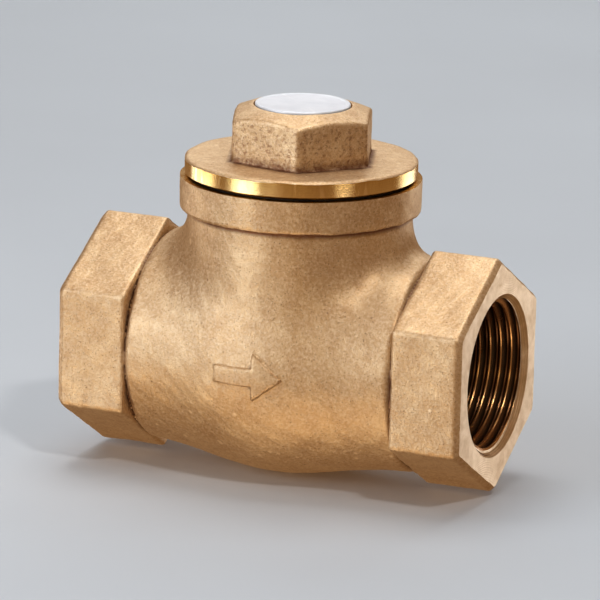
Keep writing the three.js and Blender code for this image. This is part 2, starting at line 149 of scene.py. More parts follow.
PIN_LUG_R = 4.2
PIN_LUG_INNER_Y = 9.8
PLUG_HEAD_BOTTOM = 27.1
PLUG_HEAD_TOP = 31.3
PLUG_HEX_FLATS = 11.0
PLUG_WASHER_R = 7.2
PLUG_WASHER_SPAN = (25.8, 26.8)
PLUG_THREAD_ROOT = 3.9
PLUG_THREAD_DEPTH = 0.65
PLUG_THREAD_PITCH = 1.25
PLUG_THREAD_SPAN = (19.9, 28.0)
PIN_HOLE_START = -19.9

HANGER_BACK = -3.4
HANGER_FRONT = 0.6
HANGER_BARREL_R = 3.3
HANGER_BARREL_HALF = 9.4
HANGER_EYE_R = 5.2
HANGER_ARM_HALF = 3.5
ARM_TOP = 17.0
ARM_HEAD_X = -6.0
ARM_HEAD_Z = 14.0
ARM_HEAD_R = 7.6
ARM_HEAD_START = 15.3
HOLDER_R = 14.4
HOLDER_BACK = -3.8
HOLDER_RIM = -8.2
HOLDER_FLOOR = -6.4
# The two studs: the radius, the thread's radius at its root, its depth and pitch, and its ends.
STUD_R = 2.45
STUD_THREAD = (1.95, 0.48, 0.8)
STUD_SPAN = (-4.2, 8.2)
FRONT_STUD_R = 2.0
FRONT_STUD_THREAD = (1.58, 0.42, 0.7)
FRONT_STUD_SPAN = (-14.2, -6.2)
FRONT_STUD_NECK = -9.6
BACK_RING_R = (5.4, 5.6, 8.8, 9.0)
BACK_RING_DEPTH = 0.25
HUB_R = 2.2
HUB_TOP = 1.0
SEAT_DISC_R = 13.5
SEAT_DISC_FACE = -9.0
SEAT_DISC_BACK = -6.7

# Washers and nuts on the disc holder: bores, and where each starts and ends along the stud.
FRONT_BORE_R = 2.3
REAR_BORE_R = 2.75
SEAT_WASHER_R = 7.6
SEAT_WASHER_SPAN = (-10.1, -9.3)
SEAT_NUT_FLATS = 7.0
SEAT_NUT_SPAN = (-13.4, -10.4)
HANGER_WASHER_R = 4.9
HANGER_WASHER_SPAN = (0.9, 1.7)
HANGER_NUT_FLATS = 8.0
HANGER_NUT_SPAN = (2.0, 5.6)
NUT_BEVEL_SLOPE = 0.577
SPLIT_PIN_X = 6.8
SPLIT_PIN_R = 0.38
SPLIT_PIN_HOLE_R = 0.62
SPLIT_PIN_EYE_R = 1.1
SPLIT_PIN_EYE_Y = 4.25

# ---- grids and thread form ----

# Spacing of the grids that the castings, the plug's head and the nuts are drawn on, in millimetres.
BODY_VOXEL = 0.44
CAP_VOXEL = 0.36
HANGER_VOXEL = 0.24
PLUG_VOXEL = 0.2
NUT_VOXEL = 0.14

# The form of every thread: the share of the pitch that is flat at a crest and at a valley, the share
# that the two flanks take together, and how straight a flank is. The rest of it is an S curve.
THREAD_FLAT = 0.12
THREAD_FLANK = 0.76
THREAD_STRAIGHT = 0.35

# ---- fields: below zero inside, in millimetres ----


def blend_union(a, b, reach):
    h = np.maximum(reach - np.abs(a - b), 0) / reach
    return np.minimum(a, b) - h * h * h * reach / 6


def blend_cut(a, b, reach):
    return -blend_union(-a, -b, reach)


def slab(v, low, high):
    return np.abs(v - (low + high) / 2) - (high - low) / 2


def drum(r, radius, along, low, high, edge):
    return blend_cut(r - radius, slab(along, low, high), edge)


def hexagon(u, v, across_flats, edge):
    """A hexagonal prism with its corners on the v axis."""
    half = across_flats / 2
    c, s = 0.5, math.sqrt(3) / 2
    sides = blend_cut(np.abs(u) - half, np.abs(s * v + c * u) - half, edge)
    return blend_cut(sides, np.abs(s * v - c * u) - half, edge)


def barrel_radius(x):
    away = (x - BARREL_BELLY_X) / BARREL_SPREAD
    return BARREL_END_R + (BARREL_BELLY_R - BARREL_END_R) * np.exp(-away * away)


def waviness(x, y, z, height):
    """The slight unevenness of a sand casting."""
    a = np.sin(0.41 * x + 0.33 * y + 1.0) * np.sin(0.37 * z - 0.29 * y + 0.4)
    b = np.sin(0.83 * y - 0.61 * z + 2.1) * np.sin(0.71 * x + 0.52 * z)
    c = np.sin(1.45 * z + 1.1 * x + 0.7) * np.sin(1.6 * y - 0.9 * x + 1.9)
    return height * (0.5 * a + 0.3 * b + 0.2 * c)


def arrow_field(x, z):
    """The outline of the flow arrow, as a distance in the x, z plane."""
    neck = ARROW_LENGTH / 2 - ARROW_HEAD_LENGTH
    shaft = np.maximum(slab(x, -ARROW_LENGTH / 2, neck + 1), np.abs(z) - ARROW_SHAFT / 2)
    slope = math.hypot(ARROW_HEAD_LENGTH, ARROW_HEAD / 2)
    side = ((x - ARROW_LENGTH / 2) * (ARROW_HEAD / 2) + np.abs(z) * ARROW_HEAD_LENGTH) / slope
    return np.minimum(shaft, np.maximum(side, neck - x))


def globe_field(x, y, z):
    run = np.sqrt(y * y + z * z) + 1e-9
    upright = np.sqrt(x * x + y * y) + 1e-9
    groove = GROOVE_DEPTH * np.exp(-((np.abs(x) - HEX_INNER_X - 0.1) / GROOVE_SPREAD) ** 2)
    barrel = np.maximum(run - barrel_radius(x) + groove, np.abs(x) - HEX_INNER_X - 0.4)
    neck = np.maximum(np.maximum(upright - NECK_R, z - COLLAR_BOTTOM - 2), -z)
    together = (y * y) / (run * upright)
    reach = BLEND * np.sqrt(np.maximum(1 - together, 1e-6))
    return blend_union(barrel, neck, reach)


def casting_field(x, y, z):
    """The outside of the body as cast, with stock left on the faces that are machined."""
    upright = np.sqrt(x * x + y * y)
    globe = globe_field(x, y, z)
    mark = blend_cut(globe - ARROW_RAISED, arrow_field(x, z), 0.5)
    globe = blend_union(globe, np.maximum(mark, y + BARREL_BELLY_R / 2), 0.5)
    boss_r = np.sqrt((x - PIN_X) ** 2 + (z - PIN_Z) ** 2)
    boss = drum(boss_r, BOSS_R, y, BOSS_START, BOSS_Y + MACHINING, 1.2)
    collar = drum(upright, COLLAR_R, z, COLLAR_BOTTOM, COLLAR_TOP + MACHINING, 1.0)
    sides = hexagon(y, z, END_HEX_FLATS, CAST_EDGE)
    outer_x = LENGTH / 2 + MACHINING
    chamfer = (sides + np.abs(x) - LENGTH / 2 + END_HEX_CHAMFER) * math.sqrt(0.5)
    ends = blend_cut(sides, slab(np.abs(x), HEX_INNER_X, outer_x), CAST_EDGE)
    ends = blend_cut(ends, chamfer, 0.4)
    outside = blend_union(globe, boss, 2.5)
    outside = blend_union(outside, collar, 0.8)
    outside = blend_union(outside, ends, 0.5)
    return outside + waviness(x, y, z, 0.12)


def core_field(x, y, z):
    """The hollow that the sand core leaves."""
    run = np.sqrt(y * y + z * z)
    upright = np.sqrt(x * x + y * y)
    cone = PASSAGE_R + (barrel_radius(CHAMBER_CONE_X) - WALL - PASSAGE_R) * (
        (CHAMBER_CONE_END_X - x) / (CHAMBER_CONE_END_X - CHAMBER_CONE_X))
    chamber_r = np.minimum(barrel_radius(x) - WALL, cone)
    chamber = blend_cut(run - chamber_r, slab(x, CHAMBER_WALL_X, CHAMBER_CONE_END_X), 2.0)
    outlet = np.maximum(run - PASSAGE_R, slab(x, *OUTLET_SPAN))
    neck = blend_cut(upright - NECK_BORE_R + 1.2, slab(z, NECK_FLOOR, COLLAR_TOP - 6), 1.5)
    lower = np.maximum(upright - NECK_BORE_R + 0.4, slab(z, NECK_LOWER, NECK_FLOOR + 2))
    lower = np.maximum(lower, CHAMBER_WALL_X - x)
    hollow = blend_union(blend_union(chamber, outlet, 2.0), blend_union(neck, lower, 2.0), 2.0)
    seat = drum(run, SEAT_RING_R, x, CHAMBER_WALL_X - 2, SEAT_FACE_X + 0.3, 0.8)
    lug_r = np.sqrt((x - PIN_X) ** 2 + (z - PIN_Z) ** 2)
    lugs = blend_cut(lug_r - PIN_LUG_R, PIN_LUG_INNER_Y - np.abs(y), 1.0)
    hollow = blend_cut(blend_cut(hollow, -seat, 1.0), -lugs, 1.5)
    bowl = blend_cut(run - BOWL_R, slab(x, *BOWL_SPAN), 5.0)
    inlet = blend_union(np.maximum(run - PASSAGE_R, slab(x, *INLET_SPAN)), bowl, 3.0)
    throat = np.maximum(run - SEAT_BORE_R + 0.4, slab(x, THROAT_START, SEAT_FACE_X + 3))
    inlet = blend_union(inlet, throat, 2.5)
    return np.minimum(hollow, inlet)


def body_field(x, y, z):
    return np.maximum(casting_field(x, y, z), -core_field(x, y, z))


def turned_about_z(x, y, angle):
    c, s = math.cos(angle), math.sin(angle)
    return c * x + s * y, c * y - s * x


def cap_field(x, y, z):
    """The cap as cast: flange and hexagon on the core of the threaded plug."""
    upright = np.sqrt(x * x + y * y)
    flange = drum(upright, CAP_FLANGE_R + 0.35, z, CAP_FLANGE_BOTTOM - MACHINING, CAP_FLANGE_TOP, 2.6)
    u, v = turned_about_z(x, y, CAP_TURN - math.pi / 2)
    corner_r = CAP_HEX_FLATS / math.sqrt(3)
    rise, run = CAP_TOP - CAP_HEX_CORNER, corner_r - CAP_TOP_R
    crown = ((z - CAP_HEX_CORNER) * run + (upright - corner_r) * rise) / math.hypot(rise, run)
    sides = hexagon(u, v, CAP_HEX_FLATS, 1.1)
    hexagonal = blend_cut(sides, np.maximum(crown, np.maximum(z - CAP_TOP, 35 - z)), 0.9)
    return blend_union(flange, hexagonal, 0.7) + waviness(x, y, z + 20, 0.10)


def arm_outline(x, z):
    """Side view of the hanger's arm, above zero outside."""
    back = HANGER_BACK - x
    front = x - HANGER_FRONT + 0.06 * np.maximum(10 - z, 0)
    top = np.sqrt((x - ARM_HEAD_X) ** 2 * 1.2 + (z - ARM_HEAD_Z) ** 2) - ARM_HEAD_R
    upper = np.maximum(top, np.maximum(ARM_HEAD_START - z, PIN_X - x))
    lower = np.maximum(np.maximum(back, front), np.maximum(-z, z - ARM_TOP))
    return blend_union(upper, lower, 1.5)


def hanger_field(x, y, z):
    pin_r = np.sqrt((x - PIN_X) ** 2 + (z - PIN_Z) ** 2)
    run = np.sqrt(y * y + z * z)
    barrel = drum(pin_r, HANGER_BARREL_R, y, -HANGER_BARREL_HALF, HANGER_BARREL_HALF, 0.7)
    arm = blend_cut(arm_outline(x, z), np.abs(y) - HANGER_ARM_HALF, 1.0)
    eye = drum(run, HANGER_EYE_R, x, HANGER_BACK, HANGER_FRONT, 0.7)
    return blend_union(blend_union(barrel, arm, 1.2), eye, 1.2) + waviness(3 * x, 3 * y, 3 * z, 0.05)


def nut_field(across_flats, low, high):
    """A hexagon nut along X, with its corners turned off at 30 degrees."""
    def field(x, y, z):
        radius = np.sqrt(y * y + z * z)
        corner = across_flats / math.sqrt(3)
        bevel = np.minimum(high - x, x - low) - NUT_BEVEL_SLOPE * (radius - corner * 0.9)
        sides = hexagon(y, z, across_flats, 0.25)
        return blend_cut(blend_cut(sides, slab(x, low, high), 0.25), -bevel, 0.2)
    return field


def plug_head_field(x, y, z):
    u, v = z - PIN_Z, x - PIN_X
    radius = np.sqrt(u * u + v * v)
    bevel = (PLUG_HEAD_TOP - y) - 0.45 * (radius - 5.6)
    sides = hexagon(u, v, PLUG_HEX_FLATS, 0.4)
    return blend_cut(blend_cut(sides, slab(y, PLUG_HEAD_BOTTOM, PLUG_HEAD_TOP), 0.4), -bevel, 0.4)


# ---- meshes ----


def skin(field, low, high, voxel):
    """The surface where a field is zero, as points and four-sided faces."""
    counts = [int(math.ceil((h - l) / voxel)) + 1 for l, h in zip(low, high)]
    axes = [l + voxel * np.arange(n) for l, n in zip(low, counts)]
    x, y, z = np.meshgrid(*axes, indexing="ij", sparse=True)
    values = np.broadcast_to(field(x, y, z), counts).astype(np.float32)
    grid = openvdb.FloatGrid(1.0)
    grid.copyFromArray(values)
    points, quads = grid.convertToQuads(isovalue=0.0)
    points = np.array(low) + points.astype(float) * voxel
    for even in (False, False, True, False, False):
        if even:
            points = evened(points, quads)
        points = onto_surface(field, points, voxel)
    return points, quads[:, ::-1]


def onto_surface(field, points, voxel):
    """The points moved along the field's slope to where the field is zero."""
    step = voxel * 0.1
    px, py, pz = points[:, 0], points[:, 1], points[:, 2]
    value = field(px, py, pz)
    slope = np.stack([
        field(px + step, py, pz) - field(px - step, py, pz),
        field(px, py + step, pz) - field(px, py - step, pz),
        field(px, py, pz + step) - field(px, py, pz - step),
    ], axis=1) / (2 * step)
    steep = np.maximum((slope ** 2).sum(axis=1), 0.25)
    move = slope * (value / steep)[:, None]
    return points - np.clip(move, -voxel / 2, voxel / 2)


def evened(points, quads):
    """The points moved half way to the middle of their neighbours, so that no edge is very short."""
    total = np.zeros_like(points)
    count = np.zeros(len(points))
    for k in range(4):
        here, there = quads[:, k].astype(np.int64), quads[:, (k + 1) % 4].astype(np.int64)
        for one, other in ((here, there), (there, here)):
            count += np.bincount(one, minlength=len(points))
            for axis in range(3):
                total[:, axis] += np.bincount(one, points[other, axis], len(points))
    return (points + total / np.maximum(count, 1)[:, None]) / 2


def make_object(name, points, faces):
    mesh = bpy.data.meshes.new(name)
    mesh.from_pydata((np.asarray(points) * MM).tolist(), [], [tuple(f) for f in faces])
    mesh.validate()
    obj = bpy.data.objects.new(name, mesh)
    bpy.context.scene.collection.objects.link(obj)
    return obj


def skin_object(name, field, low, high, voxel):
    points, quads = skin(field, low, high, voxel)
    obj = make_object(name, points, quads.tolist())
    face_outward(obj, one_shell=False)
    return obj


def face_outward(obj, one_shell=True, merge=1e-7):
    """Turns the faces outward. The faces of a skin already agree, and its cavities face inward."""
    work = bmesh.new()
    work.from_mesh(obj.data)
    bmesh.ops.remove_doubles(work, verts=work.verts, dist=merge)
    if one_shell:
        bmesh.ops.recalc_face_normals(work, faces=work.faces)
    if work.calc_volume(signed=True) < 0:
        bmesh.ops.reverse_faces(work, faces=work.faces)
    work.to_mesh(obj.data)
    work.free()


def soften(profile, radius):
    """Rounds every corner of a closed profile a little."""
    result = []
    count = len(profile)
    for i, here in enumerate(profile):
        here = np.array(here, float)
        before = np.array(profile[i - 1], float)
        after = np.array(profile[(i + 1) % count], float)
        if here[0] < 1e-6:
            result.append(tuple(here))
            continue
        a, b = before - here, after - here
        la, lb = np.linalg.norm(a), np.linalg.norm(b)
        reach = min(radius, la / 2.5, lb / 2.5)
        start, end = here + a / la * reach, here + b / lb * reach
        for t in (0.0, 0.33, 0.67, 1.0):
            bent = (1 - t) ** 2 * start + 2 * t * (1 - t) * here + t * t * end
            result.append(tuple(bent))
    return result


def on_axis(axis, r, along, angle):
    """A point at radius r and angle about an axis, at a distance along it."""
    u, v = r * np.cos(angle), r * np.sin(angle)
    if axis == "x":
        return np.stack([along, u, v], axis=-1)
    if axis == "y":
        return np.stack([v, along, u], axis=-1)
    return np.stack([u, v, along], axis=-1)


def revolve(name, profile, axis, segments=96, rounding=0.15, centre=(0, 0, 0)):
    """A closed solid of revolution from (radius, distance along the axis) points."""
    if rounding:
        profile = soften(profile, rounding)
    ring = np.array(profile, float)
    count = len(ring)
    angles = np.linspace(0, 2 * math.pi, segments, endpoint=False)
    points = []
    index = np.zeros((segments, count), int)
    for j, (r, along) in enumerate(ring):
        if r < 1e-6:
            index[:, j] = len(points)
            points.append(on_axis(axis, np.array(0.0), np.array(along), 0.0))
            continue
        index[:, j] = len(points) + np.arange(segments)
        points.extend(on_axis(axis, np.full(segments, r), np.full(segments, along), angles))
    faces = []
    for i in range(segments):
        k = (i + 1) % segments
        for j in range(count):
            m = (j + 1) % count
            face = [index[i, j], index[k, j], index[k, m], index[i, m]]
            face = [int(v) for n, v in enumerate(face) if v not in face[:n]]
            if len(face) > 2:
                faces.append(face)
    obj = make_object(name, np.array(points) + np.array(centre), faces)
    face_outward(obj)
    return obj


def disc(name, axis, radius, start, end, segments, rounding=0, centre=(0, 0, 0)):
    """A plain round rod or disc from start to end along an axis."""
    profile = [(0, start), (radius, start), (radius, end), (0, end)]
    return revolve(name, profile, axis, segments, rounding, centre)


def washer_ring(name, axis, inner, outer, span, segments, rounding, centre=(0, 0, 0)):
    """A flat ring that spans from start to end along an axis."""
    start, end = span
    profile = [(inner, start), (outer, start), (outer, end), (inner, end)]
    return revolve(name, profile, axis, segments, rounding, centre)


def thread_rod(name, axis, root, depth, pitch, start, end, taper=0.0, fades=(1.0, 1.0),
               segments=96, rows=8, centre=(0, 0, 0)):
    """A closed rod with a screw thread, from start to end along an axis.

    root is the radius at the bottom of the thread at the start, and taper how fast it shrinks.
    fades are the lengths over which the thread rises and dies away.
    """
    turns = (end - start) / pitch
    count = int(math.ceil((turns + 1) * rows)) + 1
    angles = np.linspace(0, 2 * math.pi, segments + 1)
    row = np.arange(count)[:, None] / rows - 1
    along = np.clip(start + (row + angles[None, :] / (2 * math.pi)) * pitch, start, end)
    phase = (along - start) / pitch - angles[None, :] / (2 * math.pi)
    wave = np.abs(2 * (phase - np.floor(phase)) - 1)
    flank = np.clip((wave - THREAD_FLAT) / THREAD_FLANK, 0, 1)
    flank = THREAD_STRAIGHT * flank + (1 - THREAD_STRAIGHT) * flank * flank * (3 - 2 * flank)
    rise = np.clip((along - start) / fades[0], 0, 1) * np.clip((end - along) / fades[1], 0, 1)
    radius = root - taper * (along - start) + depth * flank * rise
    points = on_axis(axis, radius, along, angles[None, :] + 0 * along)
    width = segments + 1
    points = points.reshape(-1, 3)
    faces = []
    for i in range(count - 1):
        for j in range(segments):
            a = i * width + j
            faces.append((a, a + 1, a + width + 1, a + width))
    first = len(points)
    caps = on_axis(axis, np.zeros(2), np.array([start, end]), np.zeros(2))
    points = np.concatenate([points, caps])
    for j in range(segments):
        faces.append((j, j + 1, first))
        last = (count - 1) * width + j
        faces.append((last, last + 1, first + 1))
    obj = make_object(name, points + np.array(centre), faces)
    face_outward(obj, merge=2e-7)
    return obj


def boolean(target, tool, operation):
    """Joins the tool to the target, or cuts it out, and keeps the tool's material on its faces."""
    modifier = target.modifiers.new("cut", "BOOLEAN")
    modifier.operation = operation
    modifier.solver = "MANIFOLD"
    modifier.object = tool
    modifier.material_mode = "TRANSFER"
    bpy.context.view_layer.update()
    result = bpy.data.meshes.new_from_object(target.evaluated_get(bpy.context.evaluated_depsgraph_get()))
    target.modifiers.remove(modifier)
    if len(result.polygons) < 4:
        raise RuntimeError(f"the boolean of {target.name} with {tool.name} gave nothing")
    old = target.data
    target.data = result
    result.name = target.name
    bpy.data.meshes.remove(old)
    bpy.data.objects.remove(tool)


def cut(target, tool, material=None):
    if material:
        paint(tool, material)
    boolean(target, tool, "DIFFERENCE")


def join(target, tool, material=None):
    if material:
        paint(tool, material)
    boolean(target, tool, "UNION")


def paint(obj, material):
    obj.data.materials.clear()
    obj.data.materials.append(material)


def shade(obj, angle=38.0):
    """Smooth shading, with a crisp edge at each sharp corner and where two finishes meet."""
    mesh = obj.data
    mesh.polygons.foreach_set("use_smooth", [True] * len(mesh.polygons))
    mesh.set_sharp_from_angle(angle=math.radians(angle))
    work = bmesh.new()
    work.from_mesh(mesh)
    for edge in work.edges:
        faces = edge.link_faces
        if len(faces) == 2 and faces[0].material_index != faces[1].material_index:
            edge.smooth = False
    work.to_mesh(mesh)
    work.free()


def settle(obj, node, body):
    """Puts a finished piece in place of its node."""
    shade(obj)
    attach(obj, body)
    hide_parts(node)


# ---- materials ----


class Shader:
    """A node material built from the object's own coordinates."""

    def __init__(self, name):
        self.material = bpy.data.materials.new(name)
        self.material.use_nodes = True
        self.tree = self.material.node_tree
        self.bsdf = self.tree.nodes["Principled BSDF"]
        coords = self.node("ShaderNodeTexCoord")
        self.where = coords.outputs["Object"]

    def node(self, kind, **settings):
        made = self.tree.nodes.new(kind)
        for key, value in settings.items():
            setattr(made, key, value)
        return made

    def feed(self, socket, value):
        if isinstance(value, bpy.types.NodeSocket):
            self.tree.links.new(value, socket)
        else:
            socket.default_value = value

    def noise(self, size_mm, detail=4.0, rough=0.55, where=None):
        made = self.node("ShaderNodeTexNoise")
        self.feed(made.inputs["Vector"], where or self.where)
        made.inputs["Scale"].default_value = 1 / (size_mm * MM)
        made.inputs["Detail"].default_value = detail
        made.inputs["Roughness"].default_value = rough
        return made.outputs["Fac"]

    def stretch(self, scale):
        made = self.node("ShaderNodeMapping")
        self.feed(made.inputs["Vector"], self.where)
        made.inputs["Scale"].default_value = scale
        return made.outputs["Vector"]

    def math(self, operation, a, b=0.0, clamp=False):
        made = self.node("ShaderNodeMath", operation=operation, use_clamp=clamp)
        self.feed(made.inputs[0], a)
        self.feed(made.inputs[1], b)
        return made.outputs[0]

    def span(self, value, low, high, to_low=0.0, to_high=1.0):
        made = self.node("ShaderNodeMapRange", clamp=True)
        self.feed(made.inputs["Value"], value)
        made.inputs["From Min"].default_value = low
        made.inputs["From Max"].default_value = high
        made.inputs["To Min"].default_value = to_low
        made.inputs["To Max"].default_value = to_high
        return made.outputs["Result"]

    def mix(self, factor, a, b):
        made = self.node("ShaderNodeMix", data_type="RGBA")
        self.feed(made.inputs["Factor"], factor)
        self.feed(made.inputs["A"], a)
        self.feed(made.inputs["B"], b)
        return made.outputs["Result"]

    def bump(self, height, distance_mm, strength=1.0, below=None):
        made = self.node("ShaderNodeBump")
        made.inputs["Strength"].default_value = strength
        made.inputs["Distance"].default_value = distance_mm * MM
        self.feed(made.inputs["Height"], height)
        if below is not None:
            self.feed(made.inputs["Normal"], below)
        return made.outputs["Normal"]

    def pointiness(self):
        return self.node("ShaderNodeNewGeometry").outputs["Pointiness"]

    def radius(self, axis):
        """Distance from an axis and place along it, in metres."""
        parts = self.node("ShaderNodeSeparateXYZ")
        self.feed(parts.inputs[0], self.where)
        others = [n for n in "XYZ" if n != axis.upper()]
        squares = [self.math("POWER", self.math("ABSOLUTE", parts.outputs[n]), 2.0) for n in others]
        return self.math("SQRT", self.math("ADD", squares[0], squares[1])), parts.outputs[axis.upper()]

    def set(self, name, value):
        self.feed(self.bsdf.inputs[name], value)


def linear(red, green, blue):
    """An 8-bit screen colour as the linear colour that the shader takes."""
    def channel(v):
        v /= 255
        return v / 12.92 if v <= 0.04045 else ((v + 0.055) / 1.055) ** 2.4
    return (channel(red), channel(green), channel(blue), 1.0)


def near(s, value, place_mm, inner_mm, outer_mm):
    """One where a distance along the object is within inner_mm of a place, falling to none at outer_mm."""
    away = s.math("ABSOLUTE", s.math("SUBTRACT", value, place_mm * MM))
    return s.span(away, inner_mm * MM, outer_mm * MM, 1.0, 0.0)


def body_crease_shade(s):
    """Painted shade in the grooves beside the hexagons and in the corner under the collar."""
    run, x = s.radius("X")
    upright, z = s.radius("Z")
    groove = near(s, s.math("ABSOLUTE", x), HEX_INNER_X, 0.3, 1.2)
    groove = s.math("MULTIPLY", groove, s.span(run, 20.9 * MM, 21.7 * MM, 1.0, 0.0))
    corner = s.span(upright, 23.6 * MM, 24.6 * MM, 1.0, 0.0)
    corner = s.math("MULTIPLY", near(s, z, COLLAR_BOTTOM - 0.3, 0.3, 1.1), corner)
    return s.math("MAXIMUM", groove, corner)


def hexagon_reach(s):
    """Distance from the cap's axis, measured square to the nearest flat of its hexagon."""
    parts = s.node("ShaderNodeSeparateXYZ")
    s.feed(parts.inputs[0], s.where)
    reach = 0.0
    for k in range(3):
        angle = CAP_TURN + math.radians(30 + 60 * k)
        along = s.math("MULTIPLY", parts.outputs["X"], math.cos(angle))
        across = s.math("MULTIPLY", parts.outputs["Y"], math.sin(angle))
        reach = s.math("MAXIMUM", s.math("ABSOLUTE", s.math("ADD", along, across)), reach)
    return reach, parts.outputs["Z"]


def cap_foot_shade(s):
    """Painted shade round the foot of the hexagon, in patches."""
    reach, z = hexagon_reach(s)
    foot = s.span(z, (CAP_FLANGE_TOP + 0.2) * MM, (CAP_FLANGE_TOP + 2.2) * MM, 1.0, 0.0)
    ring = s.span(reach, (CAP_HEX_FLATS / 2 + 0.4) * MM, (CAP_HEX_FLATS / 2 + 1.3) * MM, 1.0, 0.0)
    patchy = s.span(s.noise(1.6, 4.0, 0.65), 0.32, 0.55, 0.45, 1.0)
    return s.math("MULTIPLY", s.math("MULTIPLY", foot, ring), patchy)


def cap_grit(s):
    """Coarse dark grains, only on the sides of the hexagon."""
    reach, z = hexagon_reach(s)
    sides = s.span(reach, (CAP_HEX_FLATS / 2 + 0.2) * MM, (CAP_HEX_FLATS / 2 + 0.6) * MM, 1.0, 0.0)
    upper = s.span(z, (CAP_HEX_CORNER - 0.4) * MM, (CAP_HEX_CORNER + 0.6) * MM, 0.6, 0.15)
    above = s.span(z, CAP_FLANGE_TOP * MM, (CAP_FLANGE_TOP + 1) * MM)
    return s.math("MULTIPLY", s.math("MULTIPLY", sides, upper), above)


def cast_bronze(name, grit=None, painted_shade=None):
    """Sand-cast bronze, blasted: pale on the high grains, darker between them."""
    s = Shader(name)
    broad = s.noise(14.0, 3.0)
    patch = s.noise(3.2, 5.0, 0.6)
    grain = s.noise(0.62, 3.0, 0.65)
    speck = s.noise(0.34, 2.0, 0.6)
    base = s.mix(s.span(broad, 0.35, 0.68), linear(206, 177, 138), linear(220, 195, 158))
    base = s.mix(s.span(patch, 0.38, 0.72, 0.0, 0.65), base, linear(190, 156, 118))
    base = s.mix(s.span(grain, 0.42, 0.70, 0.0, 0.60), base, linear(240, 224, 196))
    base = s.mix(s.span(speck, 0.60, 0.76, 0.0, 0.75), base, linear(112, 70, 40))
    if grit:
        coarse = s.math("MULTIPLY", grit(s), s.span(s.noise(0.8, 3.0, 0.6), 0.52, 0.70))
        base = s.mix(coarse, base, linear(128, 80, 54))
    worn = s.span(s.pointiness(), 0.56, 0.64)
    # Painted shade: darker where the surface is hollow, found from pointiness.
    hollow_shade = s.span(s.pointiness(), 0.470, 0.42)
    base = s.mix(s.math("MULTIPLY", worn, 0.65), base, linear(248, 230, 200))
    base = s.mix(s.math("MULTIPLY", hollow_shade, 0.70), base, linear(88, 50, 26))
    # Painted shade from the mask passed in: darker in the grooves and corners it marks.
    if painted_shade:
        base = s.mix(s.math("MULTIPLY", painted_shade(s), 0.8), base, linear(98, 48, 26))
    s.set("Base Color", base)
    s.set("Metallic", 0.85)
    s.set("Roughness", s.span(s.math("ADD", grain, s.math("MULTIPLY", patch, 0.5)), 0.5, 1.0, 0.42, 0.56))
    rough = s.math("ADD", s.math("MULTIPLY", grain, 0.7), s.math("MULTIPLY", speck, 0.3))
    low = s.bump(s.noise(2.4, 3.0), 0.22, 0.22)
    s.set("Normal", s.bump(rough, 0.16, 0.75, low))
    return s.material


def turned_bronze(axis, name, pitch_mm=0.16, polish=(0.16, 0.26)):
    """Lathe-turned metal: fine rings about an axis, on faces and on sides alike."""
    s = Shader(name)
    radius, along = s.radius(axis)
    drift = s.math("MULTIPLY", s.noise(9.0, 1.0), 0.12 * MM)
    phase = s.math("ADD", s.math("ADD", radius, along), drift)
    ridge = s.math("SINE", s.math("MULTIPLY", phase, 2 * math.pi / (pitch_mm * MM)))
    coarse = s.math("SINE", s.math("MULTIPLY", phase, 2 * math.pi / (3.7 * pitch_mm * MM)))
    marks = s.math("ADD", s.math("MULTIPLY", ridge, 0.5), s.math("MULTIPLY", coarse, 0.3))
    tarnish = s.noise(4.0, 5.0, 0.6)
    gold = s.mix(s.span(tarnish, 0.35, 0.70), linear(230, 200, 132), linear(218, 184, 120))
    base = s.mix(s.span(marks, -0.8, 0.8, 0.0, 0.35), gold, linear(184, 150, 94))
    worn = s.span(s.pointiness(), 0.52, 0.60)
    base = s.mix(s.math("MULTIPLY", worn, 0.6), base, linear(252, 232, 190))
    s.set("Base Color", base)
    s.set("Metallic", 1.0)
    s.set("Roughness", s.span(tarnish, 0.30, 0.75, *polish))
    s.set("Normal", s.bump(marks, 0.006, 0.8))
    return s.material


def end_face_bronze():
    """The faced ends: paler and greyer than the casting, with the marks of the facing cut."""
    s = Shader("faced_bronze")
    radius, _ = s.radius("X")
    phase = s.math("ADD", radius, s.math("MULTIPLY", s.noise(6.0, 2.0), 0.3 * MM))
    marks = s.math("SINE", s.math("MULTIPLY", phase, 2 * math.pi / (0.35 * MM)))
    tone = s.noise(2.0, 5.0, 0.6)
    base = s.mix(s.span(tone, 0.35, 0.70), linear(226, 206, 178), linear(206, 184, 152))
    base = s.mix(s.span(marks, -1.0, 1.0, 0.0, 0.3), base, linear(176, 150, 118))
    s.set("Base Color", base)
    s.set("Metallic", 0.95)
    s.set("Roughness", s.span(tone, 0.3, 0.8, 0.30, 0.45))
    s.set("Normal", s.bump(marks, 0.02, 0.7, s.bump(s.noise(0.4, 2.0), 0.03, 0.4)))
    return s.material


def thread_bronze():
    """The tapped ports: bright crests, and painted shade that darkens the valleys."""
    s = Shader("tapped_bronze")
    radius, along = s.radius("X")
    from_face = s.math("SUBTRACT", LENGTH / 2 * MM, s.math("ABSOLUTE", along))
    crest = s.math("SUBTRACT", (PORT_MAJOR_R - PORT_DEPTH) * MM, s.math("MULTIPLY", from_face, PORT_TAPER))
    depth = s.math("SUBTRACT", radius, crest)
    tone = s.noise(3.0, 4.0, 0.6)
    base = s.mix(s.span(tone, 0.35, 0.70), linear(218, 176, 124), linear(196, 148, 96))
    # Painted shade: darker the deeper into a valley of the thread.
    base = s.mix(s.span(depth, 0.45 * MM, 1.15 * MM, 0.0, 0.85), base, linear(84, 50, 28))
    s.set("Base Color", base)
    s.set("Metallic", 0.9)
    s.set("Roughness", s.span(tone, 0.3, 0.75, 0.20, 0.29))
    s.set("Normal", s.bump(s.noise(0.35, 3.0), 0.02, 0.5))
    return s.material


